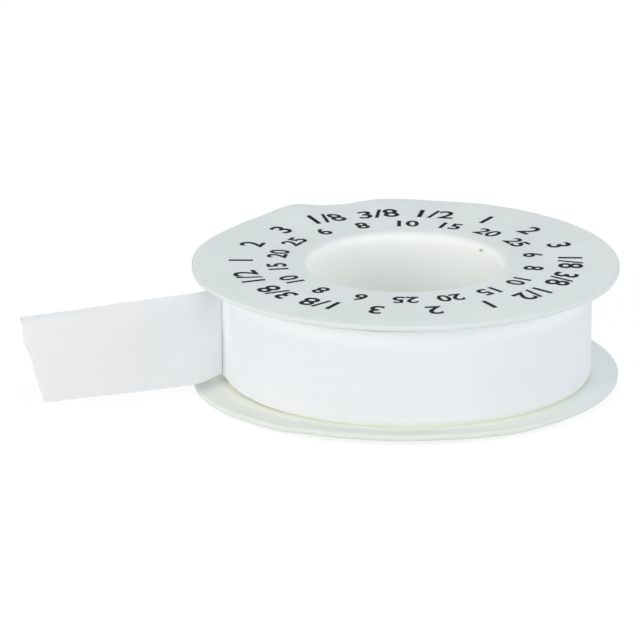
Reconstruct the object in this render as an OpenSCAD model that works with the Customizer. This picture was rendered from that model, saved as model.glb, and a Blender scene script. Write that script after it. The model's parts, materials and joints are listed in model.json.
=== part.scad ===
// Thread seal tape roll: a spool of two halves that snap together, the tape wound on it, and its free end.
// Millimetres. The origin is the middle of the bore. +Z runs along the bore towards the upper flange, and
// the free end leaves the winding towards -X and -Y.

/* [Tape] */
// Width of the tape
tape_w = 12; // [6:0.5:25]
// Thickness of the film
tape_t = 0.1; // [0.075:0.005:0.2]
// Length of tape wound on the spool
tape_len = 11300; // [4000:100:14000]

/* [Free end] */
// Direction from the axis to the line where the film leaves the winding, in degrees
exit_angle = 193; // [0:1:359]
// Radius of the tight bend where the film is peeled off
peel_r = 1.5; // [1.2:0.1:4]
// Angle of the tight bend, in degrees
peel_angle = 54; // [40:1:80]
// Radius of the easy bend that follows it
sweep_r = 12; // [6:0.5:30]
// Angle of the easy bend, in degrees
sweep_angle = 25.5; // [5:0.5:60]
// Straight length of the free end, along its upper edge
tail_len = 21.8; // [12:0.2:60]
// How much shorter the lower edge is than the upper one, where the film was torn off
tear_slant = 3.2; // [0.5:0.1:8]
// Height of the peeled film over the start of the outer turn
lap_gap = 0.8; // [0.6:0.05:1.1]

/* [Spool] */
// Diameter of both flanges
flange_d = 54; // [50:0.5:80]
// Thickness of both flanges
flange_t = 0.8; // [0.6:0.1:2]
// Rounding of the flange rims
rim_r = 0.3; // [0.1:0.05:0.45]
// Diameter of the bore
bore_d = 24; // [16:0.5:30]
// Rounding where the flanges turn into the bore
lip_r = 1.3; // [1:0.1:2.2]
// Wall of the sleeve that the upper half plugs in with
sleeve_wall = 1; // [0.8:0.1:2]
// Wall of the hub tube that the tape is wound on
hub_wall = 1; // [0.8:0.1:2]

/* [Snap fit] */
// Radius of the bead round the sleeve
bead_r = 0.3; // [0.15:0.05:0.4]
// Height of the bead above the sleeve's foot
bead_up = 2.5; // [1.5:0.1:4]
// Chamfer that leads the sleeve into the hub tube
lead_in = 0.4; // [0.1:0.05:0.6]

/* [Clearances] */
// Gap between the edges of the tape and each flange
side_gap = 0.7; // [0.15:0.05:1.2]
// Gap between the sleeve and the hub tube, all round and at both ends
fit_gap = 0.05; // [0.02:0.01:0.1]
// Gap between the hub tube, the winding and its outer turn
wind_gap = 0.05; // [0.03:0.01:0.15]

/* [Hidden] */
$fn = 96;

spool_colour = [0.86, 0.89, 0.89];
tape_colour = [0.94, 0.95, 0.96];

// Heights above and below the middle of the spool
tape_z = tape_w / 2;
inner_z = tape_z + side_gap;
face_z = inner_z + flange_t;

// Radii, from the bore outwards
bore_r = bore_d / 2;
sleeve_out_r = bore_r + sleeve_wall;
hub_in_r = sleeve_out_r + fit_gap;
hub_out_r = hub_in_r + hub_wall;
flange_r = flange_d / 2;
core_in_r = hub_out_r + wind_gap;

// The wound film fills a ring round the hub, whose end face is as large as the film's own edge
winding_r = sqrt(pow(hub_out_r, 2) + tape_len * tape_t / PI);
film_r = winding_r - tape_t / 2;
core_out_r = winding_r - 2 * tape_t - wind_gap;

// The seat in the lower half that the sleeve stands on, and the bead above it
seat_z = -face_z + max(lip_r, flange_t);
foot_z = seat_z + fit_gap;
bead_z = foot_z + bead_up;

// Half of the bead's radius lies inside the sleeve's wall
bead_mid_r = sleeve_out_r - bead_r / 2;

// A rim rounding leaves a straight edge between its two arcs
rim_round = min(rim_r, 0.45 * flange_t);

// Room that a cut takes past the surface that it opens
past = 1;

// Angles between the points of the film's path, round the winding and round its bends
turn_step = 3;
bend_step = 6;

// The outer turn ends and the free end starts half a film's thickness on each side of the hinge line
hinge_gap = tape_t;

// A unit vector in the direction of an angle
function along(angle) = [cos(angle), sin(angle)];

// A point of the film's path with the film's heading there, as [x, y, heading]
function path_point(p, heading) = [p.x, p.y, heading];

// The outer turn, which climbs by one thickness in its one turn round the winding
function turn_point(angle) =
    path_point((film_r - tape_t * (exit_angle - angle) / 360) * along(angle), angle + 90);

// The tight bend away from the winding, by the angle turned so far
function peel_point(turned) =
    path_point((film_r + peel_r) * along(exit_angle) - peel_r * along(exit_angle - turned),
               exit_angle + 90 - turned);

// The easy bend after the hinge line, by the angle turned so far
hinge = peel_point(peel_angle);
function sweep_point(turned) =
    path_point([hinge.x, hinge.y] + sweep_r * (along(hinge.z - 90) - along(hinge.z - 90 - turned)),
               hinge.z - turned);

// The straight run, by the length from the end of the easy bend
sweep_end = sweep_point(sweep_angle);
function straight_point(run) =
    path_point([sweep_end.x, sweep_end.y] + run * along(sweep_end.z), sweep_end.z);

// Angles from one limit to another in even steps
function steps(from, to, step) =
    let (count = max(1, ceil(abs(to - from) / step)))
    [for (i = [0:count]) from + (to - from) * i / count];

// The angle that an arc of a length and a radius spans
function arc_angle(length, radius) = length / radius * 180 / PI;

// The outer turn starts under the bend, where the peeled film stands clear of it
lap_run = peel_r * sin(acos(1 - (lap_gap + tape_t) / peel_r));
turn_start = exit_angle - 360 + arc_angle(lap_run, film_r);

// The film of the outer turn, from the start of the turn to the hinge line
peel_stop = peel_angle - arc_angle(hinge_gap / 2, peel_r);
turn_path = concat([for (a = steps(turn_start, exit_angle, turn_step)) turn_point(a)],
                   [for (a = steps(bend_step, peel_stop, bend_step)) peel_point(a)]);

// The film of the free end, from the hinge line to a little past its upper corner
sweep_start = arc_angle(hinge_gap / 2, sweep_r);
tail_path = concat([for (a = steps(sweep_start, sweep_angle, bend_step)) sweep_point(a)],
                   [straight_point(tail_len + past)]);

// The outline of a film that follows a path, half its thickness on each side
function film_outline(path) = concat(
    [for (p = path) [p.x, p.y] + tape_t / 2 * along(p.z + 90)],
    [for (i = [len(path) - 1:-1:0]) [path[i].x, path[i].y] - tape_t / 2 * along(path[i].z + 90)]);

// The whole film's points, and its length up to each of them
film = [for (p = concat(turn_path, tail_path)) [p.x, p.y]];
film_last = len(film) - 1;
function step_to(i) = i == 0 ? 0 : norm(film[i] - film[i - 1]);
film_runs = [for (i = 0, run = 0; i <= film_last; i = i + 1, run = run + step_to(min(i, film_last))) run];

// The least gap between stretches of the film that lie more than half a turn of its tight bend apart
apart = PI * peel_r;
far_pairs = [for (i = [0:film_last], j = [i:film_last]) if (film_runs[j] - film_runs[i] > apart) [i, j]];
self_gap = min([for (pair = far_pairs) norm(film[pair[0]] - film[pair[1]])]) - tape_t;
echo(least_gap_of_the_film_to_itself_mm = self_gap);

// The outside of the winding, the height of the spool, and where the hinge line of the free end stands
echo(winding_d_mm = 2 * winding_r, spool_height_mm = 2 * face_z, hinge_line_mm = [hinge.x, hinge.y]);

// A rectangle between two radii and two heights
module span(r0, r1, z0, z1) {
    translate([r0, z0]) square([r1 - r0, z1 - z0]);
}

// Section of one flange with its rounded rim, lying above z = 0, from a radius outwards
module flange_section(r0) {
    span(r0, flange_r - rim_round, 0, flange_t);
    span(flange_r - 2 * rim_round, flange_r, rim_round, flange_t - rim_round);
    for (z = [rim_round, flange_t - rim_round])
        translate([flange_r - rim_round, z]) circle(rim_round);
}

// Section of what the rounding takes off the bore's mouth, for an outer face at z = 0
module lip_cut() {
    difference() {
        span(bore_r - past, bore_r + lip_r, -past, lip_r);
        translate([bore_r + lip_r, lip_r]) circle(lip_r);
    }
}

// The half that stands below: a flange, the seat for the sleeve and the hub tube with its snap groove
module lower_spool_half() {
    color(spool_colour) rotate_extrude() difference() {
        union() {
            translate([0, -face_z]) flange_section(bore_r);
            span(bore_r, hub_out_r, -face_z, seat_z);
            span(hub_in_r, hub_out_r, -face_z, inner_z - fit_gap);
        }
        translate([0, -face_z]) lip_cut();
        translate([hub_in_r, bead_z]) circle(bead_r + fit_gap);
    }
}

// The half that closes the spool: a flange and the sleeve with its snap bead and lead-in chamfer
module upper_spool_half() {
    color(spool_colour) rotate_extrude() difference() {
        union() {
            translate([0, inner_z]) flange_section(bore_r);
            span(bore_r, sleeve_out_r, foot_z, face_z - flange_t / 2);
            translate([bead_mid_r, bead_z]) circle(bead_r);
        }
        translate([0, face_z]) mirror([0, 1]) lip_cut();
        translate([sleeve_out_r, foot_z])
            polygon([[-lead_in, -past], [-lead_in, 0], [0, lead_in], [past, lead_in], [past, -past]]);
    }
}

// The turns of tape that lie under the outer one
module tape_winding() {
    color(tape_colour) rotate_extrude() span(core_in_r, core_out_r, -tape_z, tape_z);
}

// A film as wide as the tape, on edge along a path
module film_strip(path) {
    translate([0, 0, -tape_z]) linear_extrude(tape_w) polygon(film_outline(path));
}

// The outer turn of tape, up to the bend where it is peeled off the winding
module tape_outer_turn() {
    color(tape_colour) film_strip(turn_path);
}

// Where the slanted tear lies at a height, measured along the film from its upper corner
function tear_x(z) = -tear_slant * (tape_z - z) / tape_w;

// The free end of the tape, torn off at a slant
module tape_free_end() {
    tip = straight_point(tail_len);
    cut_z = tape_z + past;
    cut_x = 3 * past;
    color(tape_colour) difference() {
        film_strip(tail_path);
        translate([tip.x, tip.y, 0]) rotate([90, 0, tip.z]) translate([0, 0, -past])
            linear_extrude(2 * past)
                polygon([[tear_x(cut_z), cut_z], [tear_x(-cut_z), -cut_z], [cut_x, -cut_z], [cut_x, cut_z]]);
    }
}

lower_spool_half();
upper_spool_half();
tape_winding();
tape_outer_turn();
tape_free_end();
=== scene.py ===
"""Thread seal tape roll: models the spool, its print, the wound tape and the torn free end on the frame."""

import json
import math
import random

import bmesh
import bpy
from bpy.props import (
    FloatProperty,
    FloatVectorProperty,
    IntProperty,
    PointerProperty,
)
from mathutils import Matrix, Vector, noise


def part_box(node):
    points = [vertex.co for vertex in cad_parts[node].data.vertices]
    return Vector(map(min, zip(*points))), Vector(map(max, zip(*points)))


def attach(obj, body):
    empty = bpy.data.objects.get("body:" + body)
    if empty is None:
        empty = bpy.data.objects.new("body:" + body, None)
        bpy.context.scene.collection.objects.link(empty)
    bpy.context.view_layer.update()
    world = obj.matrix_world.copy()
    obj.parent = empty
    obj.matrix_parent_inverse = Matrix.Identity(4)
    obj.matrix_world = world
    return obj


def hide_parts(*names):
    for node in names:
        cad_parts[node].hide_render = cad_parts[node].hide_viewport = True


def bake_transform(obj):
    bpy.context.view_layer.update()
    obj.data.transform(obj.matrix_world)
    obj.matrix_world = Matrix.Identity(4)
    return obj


bl_info = {
    "name": "Thread Seal Tape Roll",
    "version": (1, 0, 0),
    "blender": (4, 5, 0),
    "location": "3D View > Sidebar > Tape Roll",
    "description": "Models a thread seal tape roll on its packed frame",
    "category": "Object",
}

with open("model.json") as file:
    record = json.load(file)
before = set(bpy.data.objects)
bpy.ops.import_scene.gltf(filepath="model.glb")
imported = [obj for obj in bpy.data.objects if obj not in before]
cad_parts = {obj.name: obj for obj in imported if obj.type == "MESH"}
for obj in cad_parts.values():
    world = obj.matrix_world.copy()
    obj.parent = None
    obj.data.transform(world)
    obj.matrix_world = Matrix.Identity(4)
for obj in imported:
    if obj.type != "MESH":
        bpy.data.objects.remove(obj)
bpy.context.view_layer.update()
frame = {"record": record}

MM = 0.001

# Sizes that the frame gives
lower_lo, lower_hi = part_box("lower_spool_half")
upper_lo, upper_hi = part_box("upper_spool_half")
winding_lo, winding_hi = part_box("tape_winding")
mounts = {mount["name"]: mount for mount in frame["record"]["mounts"]}
BORE_R = mounts["spindle_bore"]["dims"]["r_mm"] * MM


def length(name, description, default):
    """A size in metres that the panel shows as a length."""
    return FloatProperty(name=name, description=description, default=default, unit="LENGTH",
                         precision=6, min=0.0)


def angle(name, description, degrees):
    """An angle that is written in degrees and kept in radians."""
    return FloatProperty(name=name, description=description, default=math.radians(degrees),
                         subtype="ANGLE")


def colour(name, description, default):
    """A colour in linear light."""
    return FloatVectorProperty(name=name, description=description, default=default,
                               subtype="COLOR", size=3, min=0.0, max=1.0)


def spot(name, description, default):
    """A place in space."""
    return FloatVectorProperty(name=name, description=description, default=default,
                               subtype="TRANSLATION", unit="LENGTH")


def power(name, description, default):
    """The power of a lamp in watts."""
    return FloatProperty(name=name, description=description, default=default, unit="POWER")


class SpoolSizes(bpy.types.PropertyGroup):
    """Sizes and colours of the two spool halves."""

    flange_r: length("Flange radius", "Outer radius of both flanges", upper_hi.x)
    flange_t: length("Flange thickness", "Thickness of both flanges", 0.8 * MM)
    rim_round: length("Rim rounding", "Rounding of the flange rims", 0.3 * MM)
    lip_round: length("Bore lip", "Rounding where a flange turns into the bore", 1.3 * MM)
    wall: length("Tube walls", "Wall of the sleeve and of the hub tube", 1.0 * MM)
    fit_gap: length("Fit gap", "Gap between the sleeve and the hub tube", 0.05 * MM)
    bead_up: length("Bead height", "Height of the snap bead above the sleeve's foot", 2.5 * MM)
    bead_proud: length("Bead", "How far the snap bead stands out of the sleeve", 0.15 * MM)
    lead_in: length("Lead-in", "Chamfer at the sleeve's foot", 0.4 * MM)
    steps: IntProperty(name="Steps", description="Steps of the spin round the bore", default=216, min=24)
    plastic: colour("Plastic", "Colour of the moulded plastic", (0.862, 0.915, 0.905))
    # Painted light: a lighter, yellowish tone that stands in for the light bounced into the groove beside the
    # tape; the plastic itself is the plain colour above.
    painted_warm_bounce: colour("Plastic in the groove", "Colour of the plastic beside the tape", (0.91, 0.935, 0.83))
    # Painted light: the bore's wall is painted lighter than the plastic, in place of the light that fills the
    # bore.
    bore: colour("Plastic in the bore", "Colour of the bore's wall", (0.97, 0.99, 0.955))


class PrintSizes(bpy.types.PropertyGroup):
    """Sizes and colour of the numbers printed on the upper flange."""

    outer_r: length("Outer ring", "Radius of the outer ring of numbers", 20.6 * MM)
    inner_r: length("Inner ring", "Radius of the inner ring of numbers", 16.2 * MM)
    outer_h: length("Outer figures", "Height of the figures in the outer ring", 3.0 * MM)
    inner_h: length("Inner figures", "Height of the figures in the inner ring", 2.4 * MM)
    bold: length("Boldness", "How far the strokes are swollen", 0.08 * MM)
    ink_t: length("Ink", "Thickness of the ink", 0.015 * MM)
    ink: colour("Ink colour", "Colour of the printing ink", (0.010, 0.0105, 0.012))


class TapeSizes(bpy.types.PropertyGroup):
    """Sizes and colour of the tape and its free end."""

    width: length("Tape width", "Width of the tape", winding_hi.z - winding_lo.z)
    film_t: length("Film", "Thickness of the film", 0.1 * MM)
    film_r: length("Outer turn", "Radius of the outer turn where the film leaves it", winding_hi.x + 0.2 * MM)
    hub_r: length("Hub", "Inner radius of the wound turns", 14.1 * MM)
    slump: length("Slump", "How far the wound turns have slipped down towards the lower flange", 0.65 * MM)
    turn_pitch: length("Turns", "Thickness of one bundle of turns seen on the edge", 0.29 * MM)
    exit_angle: angle("Exit", "Direction from the axis to where the film leaves", 193.0)
    lap: angle("Lap", "Angle by which the outer turn starts under its own end", 6.0)
    peel_r: length("Peel bend", "Radius of the tight bend where the film is peeled off", 1.5 * MM)
    peel_angle: angle("Peel angle", "Angle of the tight bend", 54.0)
    sweep_r: length("Easy bend", "Radius of the bend that follows it", 12.0 * MM)
    sweep_angle: angle("Easy angle", "Angle of the easy bend", 25.5)
    tail_len: length("Straight run", "Straight length of the free end, along its upper edge", 21.8 * MM)
    neck: length("Neck", "How far the lower edge is drawn in where the film is pulled off", 0.53 * MM)
    sag: length("Sag", "How far the free end hangs lower than the wound tape", 0.01 * MM)
    lean: length("Lean", "How far the lower corner hangs back behind the upper one", 1.3 * MM)
    edge_curl: length("Edge curl", "Width of the strip that curls forward along the upper edge", 0.7 * MM)
    end_curl: length("End curl", "Width of the strip that curls back along the torn end", 1.1 * MM)
    film: colour("Film colour", "Colour of the tape", (0.94, 0.96, 0.985))


class StageSizes(bpy.types.PropertyGroup):
    """Camera, lights and floor."""

    lens: FloatProperty(name="Lens", description="Focal length of the camera in millimetres", default=337.5)
    eye: spot("Eye", "Place of the camera", (0.0, -0.723314, 0.230251))
    aim: spot("Aim", "Point that the camera looks at", (-0.010792, 0.0, -0.00037))
    floor_size: length("Floor", "Side of the floor", 3.0)
    floor_gap: length("Floor gap", "How far the bent rim keeps the flange off the floor", 0.62 * MM)
    sky: FloatProperty(name="Sky", description="Strength of the even light from all round", default=0.55)
    left: power("Left", "Power of the lamp on the left", 3.2)
    front: power("Front", "Power of the lamp in front", 1.05)
    right: power("Right", "Power of the lamp on the right", 2.3)


# Places and tints of the lamps, by the setting that gives their power
LAMPS = {
    "left": ((-0.666, -0.559, 0.233), (1.0, 0.985, 0.95)),
    "front": ((0.28, -0.70, 0.49), (1.0, 1.0, 1.0)),
    "right": ((0.817, -0.297, 0.233), (0.93, 0.945, 1.0)),
}
LAMP_SIDE = 0.5
SKY_TINT = (0.955, 0.985, 1.0, 1.0)

# What the floor sends to the camera by itself, and the part of it that takes the shadow
FLOOR_GLOW = 0.82
FLOOR_SHADE = 0.26


def along(direction):
    """A unit vector in the plane of the flanges."""
    return Vector((math.cos(direction), math.sin(direction), 0.0))


def ease(value, low, high):
    """Zero below the low value, one above the high one, and smooth between them."""
    share = min(1.0, max(0.0, (value - low) / (high - low)))
    return share * share * (3.0 - 2.0 * share)


def through(value, points):
    """A smooth curve through points of (value, height)."""
    if value <= points[0][0]:
        return points[0][1]
    for (v0, h0), (v1, h1) in zip(points, points[1:]):
        if value <= v1:
            return h0 + (h1 - h0) * ease(value, v0, v1)
    return points[-1][1]


# Heights of the upper flange's wavy rim, in millimetres, by the direction from the axis in degrees
RIM_WAVE = [(-180, 0.0), (-163, -0.12), (-145, 0.0), (-45, 0.0), (-22, -0.18), (-8, -0.08), (8, 0.0),
            (36, 0.09), (66, 0.15), (80, 0.06), (97, 0.28), (108, -0.14), (112, -0.08), (123, 0.71),
            (137, 0.06), (147, -0.17), (157, -0.14), (170, 0.0), (180, 0.0)]


def flange_lift(x, y):
    """How far the upper flange is bent up at a place, because its rim isn't quite flat."""
    spool = bpy.context.scene.tape_roll_spool
    radius = math.hypot(x, y)
    reach = ease(radius, 0.62 * spool.flange_r, 1.02 * spool.flange_r)
    wave = through(math.degrees(math.atan2(y, x)), RIM_WAVE)
    return wave * MM * reach


# How far the foot of the last turns stands above the flange, in millimetres, by the same direction
FOOT_LIFT = [(-180, 0.87), (-163, 0.87), (-157, 0.55), (-150, 0.3), (-138, 0.06), (-125, 0.0), (30, 0.0),
             (150, 0.3), (180, 0.87)]

# How far the outer turn has slipped down, in millimetres, by the direction along its one turn
FILM_DROP = [(-173, -0.2), (-163, -0.2), (-157, 0.08), (-150, 0.3), (-138, 0.38), (-100, 0.38), (-80, 0.3),
             (-50, 0.28), (-40, 0.36), (20, 0.38), (150, 0.25), (180, 0.03), (193, 0.0)]

# How far the rim of the lower flange is bent, in millimetres, by the same direction
LOW_RIM_WAVE = [(-180, -0.3), (-170, -0.45), (-158, -0.6), (-147, -0.5), (-138, -0.36), (-127, -0.34),
                (-115, 0.03), (-98, 0.13), (-80, 0.15), (-70, 0.04), (-58, -0.12), (-48, 0.0), (-35, 0.06),
                (-10, 0.0), (150, 0.0), (180, -0.3)]


# Helpers for modelling


def deselect():
    """Leaves nothing selected, so that the next operator acts on its own piece alone."""
    if bpy.context.object and bpy.context.object.mode != "OBJECT":
        bpy.ops.object.mode_set(mode="OBJECT")
    bpy.ops.object.select_all(action="DESELECT")


def only(piece):
    """Makes one piece the selected and active one."""
    deselect()
    piece.select_set(True)
    bpy.context.view_layer.objects.active = piece


def rename(piece, name):
    """Names a piece and its mesh."""
    piece.name = name
    piece.data.name = name


def pick_points(piece, test):
    """Selects the vertices, in edit mode, whose place passes a test."""
    mesh = bmesh.from_edit_mesh(piece.data)
    for vertex in mesh.verts:
        vertex.select_set(test(vertex.co))
    mesh.select_flush_mode()
    bmesh.update_edit_mesh(piece.data)


def draw_section(name, corners):
    """Draws a half-section corner by corner, as (radius, height), and fills it."""
    deselect()
    bpy.ops.mesh.primitive_plane_add(size=MM, location=(corners[0][0], 0.0, corners[0][1]))
    piece = bpy.context.object
    rename(piece, name)
    bpy.ops.object.transform_apply(location=True, rotation=True, scale=True)
    bpy.ops.object.mode_set(mode="EDIT")
    bpy.ops.mesh.select_mode(type="VERT")
    bpy.ops.mesh.select_all(action="SELECT")
    bpy.ops.mesh.merge(type="CENTER")
    for (r0, z0), (r1, z1) in zip(corners, corners[1:]):
        bpy.ops.mesh.extrude_vertices_move(TRANSFORM_OT_translate={"value": (r1 - r0, 0.0, z1 - z0)})
    bpy.ops.mesh.select_all(action="SELECT")
    bpy.ops.mesh.edge_face_add()
    return piece


def round_corner(piece, corner, radius, segments):
    """Rounds one corner of a section."""
    near = 0.02 * MM
    pick_points(piece, lambda co: math.hypot(co.x - corner[0], co.z - corner[1]) < near)
    bpy.ops.mesh.bevel(offset=radius, segments=segments, profile=0.5, affect="VERTICES",
                       clamp_overlap=False)


def divide_long_edges(piece, longest, cuts):
    """Divides the long edges of a piece in edit mode, so that its form can bend there."""
    mesh = bmesh.from_edit_mesh(piece.data)
    bpy.ops.mesh.select_all(action="DESELECT")
    bpy.ops.mesh.select_mode(type="EDGE")
    for edge in mesh.edges:
        edge.select_set(edge.calc_length() > longest)
    bmesh.update_edit_mesh(piece.data)
    bpy.ops.mesh.subdivide(number_cuts=cuts)
    bpy.ops.mesh.select_mode(type="VERT")


def spin_section(piece, steps):
    """Spins a section round the bore's axis to a closed form."""
    bpy.ops.mesh.select_all(action="SELECT")
    bpy.ops.mesh.delete(type="ONLY_FACE")
    bpy.ops.mesh.select_all(action="SELECT")
    bpy.ops.mesh.spin(steps=steps, angle=2.0 * math.pi, center=(0.0, 0.0, 0.0), axis=(0.0, 0.0, 1.0))
    bpy.ops.mesh.select_all(action="SELECT")
    bpy.ops.mesh.remove_doubles(threshold=0.002 * MM)
    bpy.ops.mesh.normals_make_consistent(inside=False)
    bpy.ops.object.mode_set(mode="OBJECT")


def smooth(piece, degrees):
    """Shades a piece smooth, but for edges sharper than an angle."""
    only(piece)
    bpy.ops.object.shade_smooth_by_angle(angle=math.radians(degrees))


# Helpers for materials


class Finish:
    """A procedural material that is put together node by node."""

    def __init__(self, name):
        self.material = bpy.data.materials.new(name)
        self.material.use_nodes = True
        self.tree = self.material.node_tree
        self.shader = self.tree.nodes["Principled BSDF"]

    def node(self, kind, settings=None, **sockets):
        """Adds a node, sets its options and sets or links its sockets by name."""
        made = self.tree.nodes.new(kind)
        for option, value in (settings or {}).items():
            setattr(made, option, value)
        for socket, value in sockets.items():
            self.feed(made.inputs[socket.replace("_", " ")], value)
        return made

    def feed(self, socket, value):
        """Links an output to a socket, or sets the socket to a value."""
        if isinstance(value, bpy.types.NodeSocket):
            self.tree.links.new(value, socket)
        else:
            socket.default_value = value

    def place(self):
        """The place on the piece, in its own coordinates."""
        return self.node("ShaderNodeTexCoord").outputs["Object"]

    def math(self, operation, *values):
        """A sum on one, two or three numbers."""
        made = self.node("ShaderNodeMath", {"operation": operation})
        for socket, value in zip(made.inputs, values):
            self.feed(socket, value)
        return made.outputs[0]

    def span(self, value, low, high):
        """Zero at the low value and one at the high one, and smooth between them."""
        made = self.node("ShaderNodeMapRange", {"interpolation_type": "SMOOTHSTEP"}, Value=value,
                         From_Min=low, From_Max=high)
        return made.outputs["Result"]

    def mottle(self, place, scale, detail=3.0, rough=0.5):
        """Soft uneven grain."""
        made = self.node("ShaderNodeTexNoise", Vector=place, Scale=scale, Detail=detail, Roughness=rough)
        return made.outputs["Fac"]

    def blend(self, share, first, second):
        """A colour between two colours."""
        made = self.node("ShaderNodeMix", {"data_type": "RGBA"})
        self.feed(made.inputs[0], share)
        self.feed(made.inputs[6], first)
        self.feed(made.inputs[7], second)
        return made.outputs[2]

    def far(self, vector):
        """The length of a vector."""
        made = self.node("ShaderNodeVectorMath", {"operation": "LENGTH"})
        self.feed(made.inputs[0], vector)
        return made.outputs["Value"]

    def relief(self, height, strength, depth):
        """A fine relief on the surface."""
        made = self.node("ShaderNodeBump", Height=height, Strength=strength, Distance=depth)
        return made.outputs["Normal"]

    def surface(self, **sockets):
        """Sets or links the shader's own sockets."""
        for socket, value in sockets.items():
            self.feed(self.shader.inputs[socket.replace("_", " ")], value)

    def put_on(self, piece):
        """Gives the material to a piece as its only one."""
        piece.data.materials.clear()
        piece.data.materials.append(self.material)


def rgba(value, factor=1.0):
    """A colour with full alpha, made darker or lighter by a factor."""
    return (value[0] * factor, value[1] * factor, value[2] * factor, 1.0)


def plastic_finish():
    """Satin moulded plastic, white, with painted light: a yellowish painted bounce light where the tape
    shades it, painted light in the bore and painted shade at the rims.
    """
    spool = bpy.context.scene.tape_roll_spool
    finish = Finish("satin_white_plastic")
    place = finish.place()
    parts = finish.node("ShaderNodeSeparateXYZ", Vector=place)
    flat = finish.node("ShaderNodeVectorMath", {"operation": "MULTIPLY"})
    finish.feed(flat.inputs[0], place)
    flat.inputs[1].default_value = (1.0, 1.0, 0.0)
    reach = finish.far(flat.outputs["Vector"])
    across = parts.outputs["X"]
    height = finish.math("ABSOLUTE", parts.outputs["Z"])

    # The faces of the flanges, a little cloudy, and darker at the very rim, a painted shade that tones down
    # the light the rim catches
    cloudy = finish.mottle(place, 90.0, 2.0)
    fine = finish.mottle(place, 2600.0, 2.0)
    clouded = finish.span(cloudy, 0.35, 0.68)
    even = finish.blend(clouded, rgba(spool.plastic, 0.975), rgba(spool.plastic, 1.02))
    painted_rim_shade = finish.span(reach, 26.6 * MM, 26.9 * MM)
    pale = finish.blend(painted_rim_shade, even, rgba(spool.plastic, 0.85))

    # The lower flange's face in the groove, in a tone that changes from side to side: painted light and
    # shade, darker in front and lighter towards the sides, with its rim in a painted shade of its own and a
    # lighter, yellowish painted bounce light by the tape
    between = [0.5 * (cool + mild) for cool, mild in zip(spool.plastic, spool.painted_warm_bounce)]
    on_left = finish.math("MULTIPLY", finish.span(across, -6.0 * MM, -18.0 * MM), 0.5)
    painted_side_tone = finish.math("MAXIMUM", finish.span(across, 0.0, 16.0 * MM), on_left)
    ring = finish.blend(painted_side_tone, rgba(between, 0.84), rgba(between, 0.945))
    painted_low_rim_shade = finish.span(reach, 26.2 * MM, 26.7 * MM)
    outer = finish.blend(painted_low_rim_shade, ring, rgba(between, 0.855))
    painted_light_by_tape = finish.span(reach, 25.8 * MM, 24.0 * MM)
    foot = finish.blend(painted_light_by_tape, outer, rgba(spool.painted_warm_bounce))

    # Painted light and shade: that face takes these painted tones, but for the far right, and so does all
    # that lies close to the tape, where the painted bounce light stands in for the light that fills the shade
    to_left = finish.span(across, 25.0 * MM, 17.0 * MM)
    low = finish.span(parts.outputs["Z"], -6.0 * MM, -6.6 * MM)
    below = finish.math("MULTIPLY", low, to_left)
    inside = finish.span(height, 7.2 * MM, 6.6 * MM)
    near_tape = finish.span(reach, 27.2 * MM, 24.5 * MM)
    beside = finish.math("MULTIPLY", finish.math("MULTIPLY", inside, near_tape), to_left)
    painted_bounce_share = finish.math("MAXIMUM", beside, below)
    groove = finish.blend(painted_bounce_share, pale, foot)

    # The bore's wall starts at the rounded lip, and from there it is painted lighter, painted light in place
    # of the light that fills the bore
    on_lip = finish.span(height, 7.48 * MM, 7.05 * MM)
    painted_bore_light = finish.math("MULTIPLY", on_lip, finish.span(reach, 14.0 * MM, 13.2 * MM))
    with_bore = finish.blend(painted_bore_light, groove, rgba(spool.bore))

    # A faint fleck in the plastic at the bore's lip, longer than it is high
    fleck_flat = 2.2
    fleck_place = (-9.54 * MM, -7.28 * MM, -fleck_flat * 6.7 * MM)
    from_fleck = finish.node("ShaderNodeMapping", Vector=place, Scale=(1.0, 1.0, fleck_flat),
                             Location=fleck_place).outputs["Vector"]
    fleck = finish.span(finish.far(from_fleck), 0.6 * MM, 0.15 * MM)
    colour_out = finish.blend(fleck, with_bore, (0.46, 0.44, 0.37, 1.0))

    # Faint turning marks of the mould, and the grain of its surface
    marks = finish.math("SINE", finish.math("MULTIPLY", reach, 9000.0))
    grain = finish.math("MULTIPLY_ADD", marks, 0.12, fine)
    roughness = finish.math("MULTIPLY_ADD", fine, 0.16, 0.46)
    finish.surface(Base_Color=colour_out, Roughness=roughness, Normal=finish.relief(grain, 0.25, 0.02 * MM),
                   Specular_IOR_Level=0.25, Subsurface_Weight=0.3, Subsurface_Scale=0.5 * MM)
    finish.shader.inputs["Subsurface Radius"].default_value = (1.0, 0.95, 0.75)
    return finish


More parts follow.
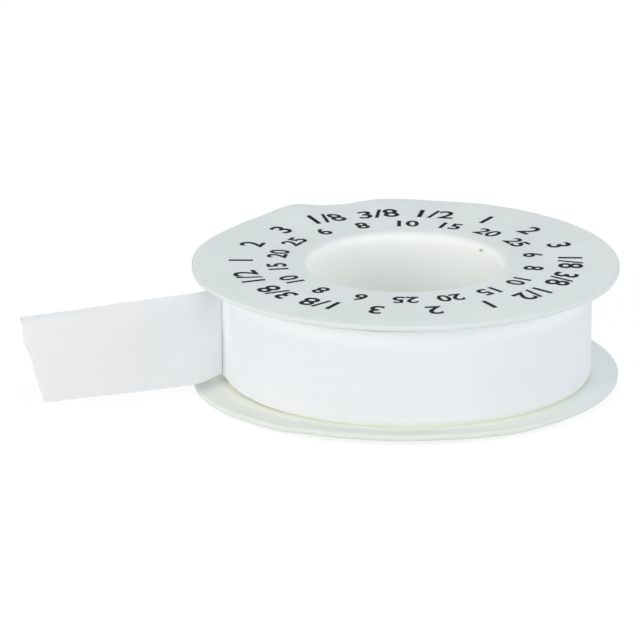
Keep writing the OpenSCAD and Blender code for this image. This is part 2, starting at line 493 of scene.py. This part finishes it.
def film_finish(name, run, root_glow, tip_glow, painted_shade_factor):
    """Silky white film with streaks along its length, which lets some light through."""
    tape = bpy.context.scene.tape_roll_tape
    finish = Finish(name)
    laid = finish.node("ShaderNodeUVMap").outputs["UV"]
    streak_scale = (run / (24.0 * MM), 26.0, 1.0)
    cloud_scale = (run / (7.0 * MM), tape.width / (5.0 * MM), 1.0)
    streaky = finish.node("ShaderNodeMapping", Vector=laid, Scale=streak_scale).outputs["Vector"]
    woolly = finish.node("ShaderNodeMapping", Vector=laid, Scale=cloud_scale).outputs["Vector"]
    streaks = finish.mottle(streaky, 1.0, 4.0, 0.6)
    clouds = finish.mottle(woolly, 1.0, 2.0)
    tone = finish.math("MULTIPLY_ADD", streaks, 0.6, finish.math("MULTIPLY", clouds, 0.4))
    # The whole sheet is darkened by a factor, a painted shade; the wound turn takes one, the free end none
    even = finish.blend(finish.span(tone, 0.34, 0.66), rgba(tape.film, 0.985 * painted_shade_factor),
                        rgba(tape.film, 1.01 * painted_shade_factor))

    # Painted light: paler along the upper edge, under the flange's rim, and at the start, by the crease,
    # where shade falls; by the shares of the length and of the width
    shares = finish.node("ShaderNodeSeparateXYZ", Vector=laid)
    onwards = finish.math("MULTIPLY_ADD", finish.span(shares.outputs["X"], 0.2, 0.36), 0.6, 0.4)
    painted_light_at_top = finish.math("MULTIPLY", finish.span(shares.outputs["Y"], 0.74, 0.98), onwards)
    higher = finish.math("MULTIPLY_ADD", finish.span(shares.outputs["Y"], 0.2, 0.6), 0.75, 0.25)
    painted_light_at_start = finish.math("MULTIPLY", finish.span(shares.outputs["X"], 0.17, 0.08), higher)
    colour_out = finish.blend(finish.math("MAXIMUM", painted_light_at_top, painted_light_at_start), even, rgba(tape.film, 1.01))

    # More light comes through towards the end
    outwards = finish.span(shares.outputs["X"], 0.03, 0.5)
    glow = finish.math("MULTIPLY_ADD", outwards, tip_glow - root_glow, root_glow)
    roughness = finish.math("MULTIPLY_ADD", streaks, 0.2, 0.4)
    finish.surface(Base_Color=colour_out, Roughness=roughness, Normal=finish.relief(streaks, 0.2, 0.008 * MM),
                   Specular_IOR_Level=0.3, Sheen_Weight=0.08, Sheen_Roughness=0.4,
                   Subsurface_Weight=glow, Subsurface_Scale=0.4 * MM)
    finish.shader.inputs["Subsurface Radius"].default_value = (1.0, 1.0, 1.0)
    return finish


def edge_finish():
    """The cut edges of the turns of film, a little uneven, with a yellowish painted bounce light at their
    foot.
    """
    spool = bpy.context.scene.tape_roll_spool
    tape = bpy.context.scene.tape_roll_tape
    finish = Finish("wound_film_edges")
    place = finish.place()
    tone = finish.mottle(place, 700.0, 3.0)
    even = finish.blend(finish.span(tone, 0.35, 0.65), rgba(tape.film, 0.85), rgba(tape.film, 0.9))
    height = finish.node("ShaderNodeSeparateXYZ", Vector=place).outputs["Z"]
    # Painted light: the foot takes the yellowish painted bounce light of the groove
    painted_bounce_at_foot = finish.span(height, -6.2 * MM, -6.45 * MM)
    colour_out = finish.blend(painted_bounce_at_foot, even, rgba(spool.painted_warm_bounce, 0.9))
    roughness = finish.math("MULTIPLY_ADD", tone, 0.2, 0.45)
    finish.surface(Base_Color=colour_out, Roughness=roughness, Normal=finish.relief(tone, 0.3, 0.03 * MM),
                   Specular_IOR_Level=0.3)
    return finish


def ink_finish():
    """Black printing ink that lies unevenly on the plastic."""
    ink = bpy.context.scene.tape_roll_print.ink
    finish = Finish("black_print_ink")
    place = finish.place()
    blotches = finish.mottle(place, 900.0, 4.0, 0.65)
    worn = finish.span(blotches, 0.45, 0.75)
    colour_out = finish.blend(worn, rgba(ink), rgba(ink, 2.2))
    roughness = finish.math("MULTIPLY_ADD", blotches, 0.3, 0.35)
    finish.surface(Base_Color=colour_out, Roughness=roughness, Normal=finish.relief(blotches, 0.3, 0.01 * MM),
                   Specular_IOR_Level=0.02)
    return finish


# The film's path


def turn_point(direction):
    """The outer turn, which climbs by one thickness in its turn round the winding."""
    tape = bpy.context.scene.tape_roll_tape
    radius = tape.film_r - tape.film_t * (tape.exit_angle - direction) / (2.0 * math.pi)
    return along(direction) * radius


def free_point(run):
    """A point of the free end and its heading, by the length from where the film leaves the winding."""
    tape = bpy.context.scene.tape_roll_tape
    peel_run = tape.peel_r * tape.peel_angle
    sweep_run = tape.sweep_r * tape.sweep_angle
    turned = min(run, peel_run) / tape.peel_r
    heading = tape.exit_angle + math.pi / 2.0 - turned
    middle = along(tape.exit_angle) * (tape.film_r + tape.peel_r)
    point = middle - along(tape.exit_angle - turned) * tape.peel_r
    if run > peel_run:
        swept = min(run - peel_run, sweep_run) / tape.sweep_r
        side = heading - math.pi / 2.0
        point = point + (along(side) - along(side - swept)) * tape.sweep_r
        heading -= swept
    if run > peel_run + sweep_run:
        point = point + along(heading) * (run - peel_run - sweep_run)
    return point, heading


def free_length():
    """Length of the free end along its upper edge, from where it leaves the winding."""
    tape = bpy.context.scene.tape_roll_tape
    return tape.peel_r * tape.peel_angle + tape.sweep_r * tape.sweep_angle + tape.tail_len


# How far the torn end lies back, in millimetres, by the depth below the upper edge
TORN_END = [(0.0, -0.25), (0.6, -0.12), (1.5, 0.2), (3.3, 0.32), (4.2, 0.55), (5.0, 1.1), (7.4, 1.8),
            (9.0, 2.3), (10.6, 2.84), (12.0, 3.32)]


def torn_back(depth):
    """How far the torn end lies back at a depth below the upper edge, with its fine fray."""
    down = depth / MM
    back = TORN_END[-1][1]
    for (d0, b0), (d1, b1) in zip(TORN_END, TORN_END[1:]):
        if down <= d1:
            back = b0 + (b1 - b0) * (down - d0) / (d1 - d0)
            break
    coarse = noise.noise(Vector((down * 1.3, 4.1, 0.0)))
    fine = noise.noise(Vector((down * 4.7, 9.3, 0.0)))
    fray = 0.07 * coarse + 0.05 * fine
    return (back + fray) * MM


def film_grid(name, columns, rows, place):
    """A sheet of film made from a grid, whose points are placed by their shares of length and width."""
    deselect()
    bpy.ops.mesh.primitive_grid_add(x_subdivisions=columns, y_subdivisions=rows, size=1.0)
    film = bpy.context.object
    rename(film, name)
    for vertex in film.data.vertices:
        vertex.co = place(vertex.co.x + 0.5, vertex.co.y + 0.5)
    film.data.update()
    return film


def thicken(film, thickness):
    """Gives a sheet its thickness, half on each side."""
    only(film)
    bpy.ops.object.modifier_add(type="SOLIDIFY")
    solid = film.modifiers[-1]
    solid.thickness = thickness
    solid.offset = 0.0
    solid.use_even_offset = True
    bpy.ops.object.modifier_apply(modifier=solid.name)
    bpy.ops.object.mode_set(mode="EDIT")
    bpy.ops.mesh.select_all(action="SELECT")
    bpy.ops.mesh.normals_make_consistent(inside=False)
    bpy.ops.object.mode_set(mode="OBJECT")
    smooth(film, 50.0)


# Operators


class TAPEROLL_OT_make_spool(bpy.types.Operator):
    """Models the two spool halves from their sections."""

    bl_idname = "tape_roll.make_spool"
    bl_label = "Spool Halves"

    def execute(self, context):
        spool = context.scene.tape_roll_spool
        finish = plastic_finish()
        for name, make in (("lower_half", self.lower), ("upper_half", self.upper)):
            piece = make(name, spool)
            smooth(piece, 32.0)
            finish.put_on(piece)
            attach(piece, "spool")
            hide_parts(name.replace("half", "spool_half"))
        return {"FINISHED"}

    def rims(self, piece, spool, outer_z, inner_z):
        """Rounds the rim and the bore's lip, and divides the flange."""
        for height in (outer_z, inner_z):
            round_corner(piece, (spool.flange_r, height), spool.rim_round, 5)
        round_corner(piece, (BORE_R, outer_z), spool.lip_round, 12)
        divide_long_edges(piece, 5.0 * MM, 9)

    def upper(self, name, spool):
        """A flange and the sleeve with its snap bead and lead-in chamfer."""
        face, foot = upper_hi.z, upper_lo.z
        inner = face - spool.flange_t
        out = BORE_R + spool.wall
        bead = foot + spool.bead_up
        proud = spool.bead_proud
        piece = draw_section(name, [
            (BORE_R, foot), (out - spool.lead_in, foot), (out, foot + spool.lead_in),
            (out, bead - 1.7 * proud), (out + 0.8 * proud, bead - 0.9 * proud), (out + proud, bead),
            (out + 0.8 * proud, bead + 0.9 * proud), (out, bead + 1.7 * proud), (out, inner),
            (spool.flange_r, inner), (spool.flange_r, face), (BORE_R, face)])
        self.rims(piece, spool, face, inner)
        spin_section(piece, spool.steps)
        for vertex in piece.data.vertices:
            vertex.co.z += flange_lift(vertex.co.x, vertex.co.y)
        return piece

    def lower(self, name, spool):
        """A flange, the seat for the sleeve and the hub tube with its snap groove."""
        face, top = lower_lo.z, lower_hi.z
        inner = face + spool.flange_t
        seat = upper_lo.z - spool.fit_gap
        tube = BORE_R + spool.wall + spool.fit_gap
        out = tube + spool.wall
        groove = upper_lo.z + spool.bead_up
        deep = spool.bead_proud + spool.fit_gap
        piece = draw_section(name, [
            (BORE_R, face), (spool.flange_r, face), (spool.flange_r, inner), (out, inner), (out, top),
            (tube, top), (tube, groove + 1.75 * deep), (tube + deep, groove + 0.8 * deep),
            (tube + deep, groove - 0.8 * deep), (tube, groove - 1.75 * deep), (tube, seat), (BORE_R, seat)])
        self.rims(piece, spool, face, inner)
        spin_section(piece, spool.steps)
        for vertex in piece.data.vertices:
            wave = through(math.degrees(math.atan2(vertex.co.y, vertex.co.x)), LOW_RIM_WAVE)
            reach = ease(math.hypot(vertex.co.x, vertex.co.y), 0.86 * spool.flange_r, 1.01 * spool.flange_r)
            vertex.co.z += wave * MM * reach
        return piece


# Height of a figure as a share of its font's size
FIGURE_SHARE = 0.7


class TAPEROLL_OT_make_print(bpy.types.Operator):
    """Prints two rings of plain pipe sizes on the upper flange."""

    bl_idname = "tape_roll.make_print"
    bl_label = "Printed Numbers"

    def execute(self, context):
        settings = context.scene.tape_roll_print
        rings = [
            (settings.outer_r, settings.outer_h, 0.0, ["1/8", "3/8", "1/2", "1", "2", "3"]),
            (settings.inner_r, settings.inner_h, 10.0, ["6", "8", "10", "15", "20", "25"]),
        ]
        figures = []
        for radius, height, first, words in rings:
            for index in range(3 * len(words)):
                direction = math.radians(first - 360.0 * index / (3 * len(words)))
                figures.append(self.figure(words[index % len(words)], radius, height, direction, settings))
        deselect()
        for piece in figures:
            piece.select_set(True)
        context.view_layer.objects.active = figures[0]
        bpy.ops.object.join()
        piece = context.object
        rename(piece, "flange_print")
        for vertex in piece.data.vertices:
            vertex.co.z += flange_lift(vertex.co.x, vertex.co.y)
        ink_finish().put_on(piece)
        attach(piece, "spool")
        return {"FINISHED"}

    def figure(self, word, radius, height, direction, settings):
        """One number, with its top outwards, on the flange's face."""
        deselect()
        bpy.ops.object.text_add(location=(0.0, 0.0, 0.0))
        piece = bpy.context.object
        text = piece.data
        text.body = word
        text.align_x = "CENTER"
        text.align_y = "CENTER"
        text.size = height / FIGURE_SHARE
        text.offset = settings.bold
        text.extrude = settings.ink_t
        text.resolution_u = 6
        bpy.ops.object.convert(target="MESH")
        piece = bpy.context.object
        bpy.ops.object.mode_set(mode="EDIT")
        bpy.ops.mesh.select_all(action="SELECT")
        bpy.ops.mesh.quads_convert_to_tris()
        divide_long_edges(piece, 0.7 * MM, 3)
        bpy.ops.object.mode_set(mode="OBJECT")
        place = along(direction) * radius
        piece.location = (place.x, place.y, upper_hi.z)
        piece.rotation_euler = (0.0, 0.0, direction - math.pi / 2.0)
        bpy.ops.object.transform_apply(location=True, rotation=True, scale=True)
        return piece


class TAPEROLL_OT_make_wound_turns(bpy.types.Operator):
    """Models the turns under the outer one, whose edges don't lie quite flush."""

    bl_idname = "tape_roll.make_wound_turns"
    bl_label = "Wound Turns"

    def execute(self, context):
        tape = context.scene.tape_roll_tape
        most_short = 0.1
        most_moved = 0.04
        dice = random.Random(11)
        turns = round((winding_hi.x - tape.hub_r) / tape.turn_pitch)
        pitch = (winding_hi.x - tape.hub_r) / turns
        upper, lower = [], []
        for turn in range(turns):
            near, far = tape.hub_r + turn * pitch, tape.hub_r + (turn + 1) * pitch
            short = dice.uniform(0.0, most_short) * MM
            moved = dice.uniform(-most_moved, most_moved) * MM
            if turn >= turns - 3:
                short, moved = 0.0, -most_moved * MM
            if turn == turns - 1:
                moved += 0.01 * MM
            top = winding_hi.z - tape.slump - short + moved
            low = winding_lo.z - tape.slump + short + moved
            upper += [(near, top), (far, top)]
            lower += [(near, low), (far, low)]
        piece = draw_section("wound_turns", lower + upper[::-1])
        spin_section(piece, context.scene.tape_roll_spool.steps)

        # The edges of the last turns don't all stand on the flange
        foot = lower[-1][1]
        for vertex in piece.data.vertices:
            if vertex.co.z < 0.0 and abs(vertex.co.z - foot) < 0.003 * MM:
                vertex.co.z += through(math.degrees(math.atan2(vertex.co.y, vertex.co.x)), FOOT_LIFT) * MM
        smooth(piece, 30.0)
        edge_finish().put_on(piece)
        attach(piece, "spool")
        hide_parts("tape_winding")
        return {"FINISHED"}


class TAPEROLL_OT_make_outer_turn(bpy.types.Operator):
    """Lays the outer turn of film round the winding."""

    bl_idname = "tape_roll.make_outer_turn"
    bl_label = "Outer Turn"

    def execute(self, context):
        tape = context.scene.tape_roll_tape
        start = tape.exit_angle - 2.0 * math.pi - tape.lap
        sweep = tape.exit_angle - start
        even_end = 0.03
        edge_wobble = 0.06 * MM
        face_bumps = 0.018 * MM
        tuck = 0.015 * MM
        draw_in_angle = 0.4

        def place(run, rise):
            """A point of the turn, with the faint unevenness of film that is wound by a machine."""
            direction = start + sweep * self.spread(run)
            point = turn_point(direction)
            soft = ease(run, 0.0, even_end) * ease(1.0 - run, 0.0, even_end)
            uneven = noise.noise(Vector((6.0 * math.cos(direction), 6.0 * math.sin(direction), 1.4 * rise)))
            wobble = noise.noise(Vector((9.0 * math.cos(direction), 9.0 * math.sin(direction), 7.0)))
            side = (rise - 0.5) * (tape.width - edge_wobble * (1.0 + wobble) * soft)
            side -= through(math.degrees(direction), FILM_DROP) * MM
            drawn_in = ease(direction, tape.exit_angle - draw_in_angle, tape.exit_angle)
            side += tape.neck * drawn_in * (1.0 - rise)

            # The start lies tight under the end of the turn
            under = tuck * (1.0 - ease(direction, start, start + 1.5 * tape.lap))
            out = face_bumps * uneven * soft - under
            out += self.cling((direction - tape.exit_angle + 2.0 * math.pi) * tape.film_r, rise, tape)
            return point + along(direction) * out + Vector((0.0, 0.0, side))

        film = film_grid("outer_turn_film", 481, 17, place)
        thicken(film, tape.film_t)
        run = sweep * tape.film_r
        # The wound turn is painted darker than the free end, a painted shade
        film_finish("wound_film", run, 0.02, 0.02, 0.865).put_on(film)
        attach(film, "outer_turn")
        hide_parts("tape_outer_turn")
        return {"FINISHED"}

    def spread(self, run):
        """Sets a fifth of the columns close together over the first stretch of the turn."""
        first, columns = 0.055, 0.2
        if run < columns:
            return first * run / columns
        return first + (1.0 - first) * (run - columns) / (1.0 - columns)

    def cling(self, run, rise, tape):
        """How far the start of the turn is drawn out after the film that is peeled off it."""
        if run <= 0.0:
            return 0.0
        press = 0.042 * MM
        slack = 0.012 * MM
        upper = ease(rise, 0.4, 0.75)

        # It lets go further on in the upper half, and falls back faster there
        top = (0.55 + 0.13 * upper) * tape.peel_r
        near = min(run, top)
        slope = math.asin(near / tape.peel_r)
        away = tape.peel_r * (1.0 - math.cos(slope)) + near ** 2 / (2.0 * tape.film_r)
        pressed = press * ease(run, 0.3 * top, 0.9 * top) - slack
        gap = away + tape.film_t - tape.film_t / math.cos(slope) + pressed
        fall = (0.9 - 0.4 * upper) * MM
        return max(0.0, gap) * math.exp(-max(0.0, run - top) / fall)


class TAPEROLL_OT_make_free_end(bpy.types.Operator):
    """Lays the free end from where it leaves the winding to its torn end."""

    bl_idname = "tape_roll.make_free_end"
    bl_label = "Free End"

    def execute(self, context):
        tape = context.scene.tape_roll_tape
        whole = free_length()
        even = whole - 7.0 * MM
        most_bent = 0.6
        most_folded = 1.3
        wave_height = 0.1 * MM

        def place(run, rise):
            """A point of the free end, with its lean, its curled edges and a faint waviness."""
            depth = (1.0 - rise) * tape.width
            reach = run * whole
            if reach > even:
                reach = even + (reach - even) * (whole - torn_back(depth) - even) / (whole - even)
            tip = whole - torn_back(depth)
            point, heading = free_point(reach)
            rear = along(heading - math.pi / 2.0)
            loose = ease(reach, 5.0 * MM, whole)
            height = (rise - 0.5) * tape.width - tape.sag * ease(reach, 0.0, 4.0 * MM)
            height += tape.neck * (1.0 - ease(reach, 1.4 * MM, 5.6 * MM)) * (1.0 - rise)
            back = tape.lean * (0.5 - rise) * loose

            # The strip along the upper edge curls forward round a small radius
            curl = ease(reach, 8.0 * MM, 0.95 * whole)
            strip = max(0.0, tape.edge_curl - depth)
            bent = most_bent * curl * strip / tape.edge_curl
            back -= strip * math.sin(0.5 * bent)
            height -= strip * (1.0 - math.cos(0.5 * bent))

            # The strip along the torn end curls back, most of all in its upper part
            flap = max(0.0, tape.end_curl - (tip - reach))
            fold = most_folded * flap / tape.end_curl * (1.0 - 0.6 * ease(depth, 4.0 * MM, 7.0 * MM))
            fold *= ease(depth, 0.0, MM)
            back += flap * math.sin(0.5 * fold)
            pull = flap * (1.0 - math.cos(0.5 * fold))

            wave = noise.noise(Vector((reach * 160.0, rise * 1.3, 3.0)))
            back += wave_height * wave * ease(reach, 6.0 * MM, 14.0 * MM)
            return point + rear * back - along(heading) * pull + Vector((0.0, 0.0, height))

        film = film_grid("free_end_film", 151, 49, place)
        thicken(film, tape.film_t)
        film_finish("free_film", whole, 0.05, 0.9, 1.0).put_on(film)
        leave = free_point(0.0)[0]
        clear = free_point(tape.peel_r * tape.peel_angle + 0.5 * tape.sweep_r * tape.sweep_angle)[0]
        tuple(leave)
        tuple(clear)
        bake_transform(film)
        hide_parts("tape_free_end")
        steps = 240
        torn_off = sum(torn_back((i + 0.5) / steps * tape.width) for i in range(steps)) / steps * tape.width
        return {"FINISHED"}


class TAPEROLL_OT_make_stage(bpy.types.Operator):
    """Sets the floor, the lights and the camera."""

    bl_idname = "tape_roll.make_stage"
    bl_label = "Stage"

    def execute(self, context):
        settings = context.scene.tape_roll_stage
        self.floor(settings)
        self.sky(context, settings)
        for side, (place, tint) in LAMPS.items():
            self.lamp(side + "_light", place, getattr(settings, side), tint)
        data = bpy.data.cameras.new("photo_camera")
        data.lens = settings.lens
        data.sensor_width = 36.0
        data.clip_start = 0.05
        data.clip_end = 20.0
        camera = bpy.data.objects.new("photo_camera", data)
        context.scene.collection.objects.link(camera)
        camera.location = settings.eye
        camera.rotation_mode = "QUATERNION"
        camera.rotation_quaternion = (Vector(settings.aim) - camera.location).to_track_quat("-Z", "Y")
        context.scene.camera = camera
        context.scene.view_settings.view_transform = "Standard"
        return {"FINISHED"}

    def floor(self, settings):
        """A pale floor that is white to the camera and keeps a faint shadow."""
        deselect()
        bpy.ops.mesh.primitive_plane_add(size=settings.floor_size, location=(0.0, 0.0, 0.0))
        floor = bpy.context.object
        rename(floor, "pale_floor")
        for vertex in floor.data.vertices:
            vertex.co.z = lower_lo.z - settings.floor_gap
        finish = Finish("pale_floor")
        seen = self.seen(finish)
        plain = finish.node("ShaderNodeBsdfDiffuse", Color=(0.9, 0.9, 0.9, 1.0)).outputs[0]
        glow = finish.node("ShaderNodeEmission", Color=(1.0, 1.0, 1.0, 1.0), Strength=FLOOR_GLOW).outputs[0]
        grey = (FLOOR_SHADE, FLOOR_SHADE, FLOOR_SHADE, 1.0)
        shade = finish.node("ShaderNodeBsdfDiffuse", Color=grey).outputs[0]
        lit = finish.node("ShaderNodeAddShader")
        finish.feed(lit.inputs[0], glow)
        finish.feed(lit.inputs[1], shade)
        mixed = finish.node("ShaderNodeMixShader", Fac=seen)
        finish.feed(mixed.inputs[1], plain)
        finish.feed(mixed.inputs[2], lit.outputs[0])
        output = finish.tree.nodes["Material Output"]
        finish.feed(output.inputs["Surface"], mixed.outputs[0])
        finish.put_on(floor)

    def seen(self, finish):
        """One for rays that show the background, straight, mirrored or through glass, and zero for light."""
        path = finish.node("ShaderNodeLightPath")
        mirrored = finish.math("MAXIMUM", path.outputs["Is Glossy Ray"], path.outputs["Is Transmission Ray"])
        return finish.math("MAXIMUM", path.outputs["Is Camera Ray"], mirrored)

    def sky(self, context, settings):
        """Even light from all round, and white behind the object."""
        world = bpy.data.worlds.new("white_surround")
        world.use_nodes = True
        context.scene.world = world
        tree = world.node_tree
        back = tree.nodes["Background"]
        back.inputs["Color"].default_value = SKY_TINT
        back.inputs["Strength"].default_value = settings.sky
        white = tree.nodes.new("ShaderNodeBackground")
        white.inputs["Color"].default_value = (1.0, 1.0, 1.0, 1.0)
        white.inputs["Strength"].default_value = 1.0
        path = tree.nodes.new("ShaderNodeLightPath")
        either = tree.nodes.new("ShaderNodeMath")
        either.operation = "MAXIMUM"
        tree.links.new(path.outputs["Is Glossy Ray"], either.inputs[0])
        tree.links.new(path.outputs["Is Transmission Ray"], either.inputs[1])
        seen = tree.nodes.new("ShaderNodeMath")
        seen.operation = "MAXIMUM"
        tree.links.new(path.outputs["Is Camera Ray"], seen.inputs[0])
        tree.links.new(either.outputs[0], seen.inputs[1])
        mixed = tree.nodes.new("ShaderNodeMixShader")
        tree.links.new(seen.outputs[0], mixed.inputs["Fac"])
        tree.links.new(back.outputs[0], mixed.inputs[1])
        tree.links.new(white.outputs[0], mixed.inputs[2])
        tree.links.new(mixed.outputs[0], tree.nodes["World Output"].inputs["Surface"])

    def lamp(self, name, place, power, tint):
        """A soft square lamp that faces the roll."""
        data = bpy.data.lights.new(name, "AREA")
        data.shape = "SQUARE"
        data.size = LAMP_SIDE
        data.energy = power
        data.color = tint
        lamp = bpy.data.objects.new(name, data)
        bpy.context.scene.collection.objects.link(lamp)
        lamp.location = place
        lamp.rotation_mode = "QUATERNION"
        lamp.rotation_quaternion = (-Vector(place)).to_track_quat("-Z", "Y")


class TAPEROLL_PT_panel(bpy.types.Panel):
    """Lists the steps that make the roll."""

    bl_idname = "TAPEROLL_PT_panel"
    bl_label = "Thread Seal Tape Roll"
    bl_space_type = "VIEW_3D"
    bl_region_type = "UI"
    bl_category = "Tape Roll"

    def draw(self, context):
        for operator in OPERATORS:
            self.layout.operator(operator.bl_idname)
        for group in GROUPS:
            settings = getattr(context.scene, group)
            box = self.layout.box()
            for name in settings.bl_rna.properties.keys():
                if name not in ("rna_type", "name"):
                    box.prop(settings, name)


GROUPS = {
    "tape_roll_spool": SpoolSizes,
    "tape_roll_print": PrintSizes,
    "tape_roll_tape": TapeSizes,
    "tape_roll_stage": StageSizes,
}
OPERATORS = [
    TAPEROLL_OT_make_stage,
    TAPEROLL_OT_make_spool,
    TAPEROLL_OT_make_print,
    TAPEROLL_OT_make_wound_turns,
    TAPEROLL_OT_make_outer_turn,
    TAPEROLL_OT_make_free_end,
]


def register():
    """Registers the settings, the operators and the panel."""
    for name, group in GROUPS.items():
        bpy.utils.register_class(group)
        setattr(bpy.types.Scene, name, PointerProperty(type=group))
    for operator in OPERATORS:
        bpy.utils.register_class(operator)
    bpy.utils.register_class(TAPEROLL_PT_panel)


def unregister():
    """Takes the panel, the operators and the settings out again."""
    bpy.utils.unregister_class(TAPEROLL_PT_panel)
    for operator in reversed(OPERATORS):
        bpy.utils.unregister_class(operator)
    for name, group in GROUPS.items():
        delattr(bpy.types.Scene, name)
        bpy.utils.unregister_class(group)


def main():
    """Makes the roll step by step."""
    register()
    bpy.ops.tape_roll.make_stage()
    bpy.ops.tape_roll.make_spool()
    bpy.ops.tape_roll.make_print()
    bpy.ops.tape_roll.make_wound_turns()
    bpy.ops.tape_roll.make_outer_turn()
    bpy.ops.tape_roll.make_free_end()


if __name__ == "__main__":
    main()
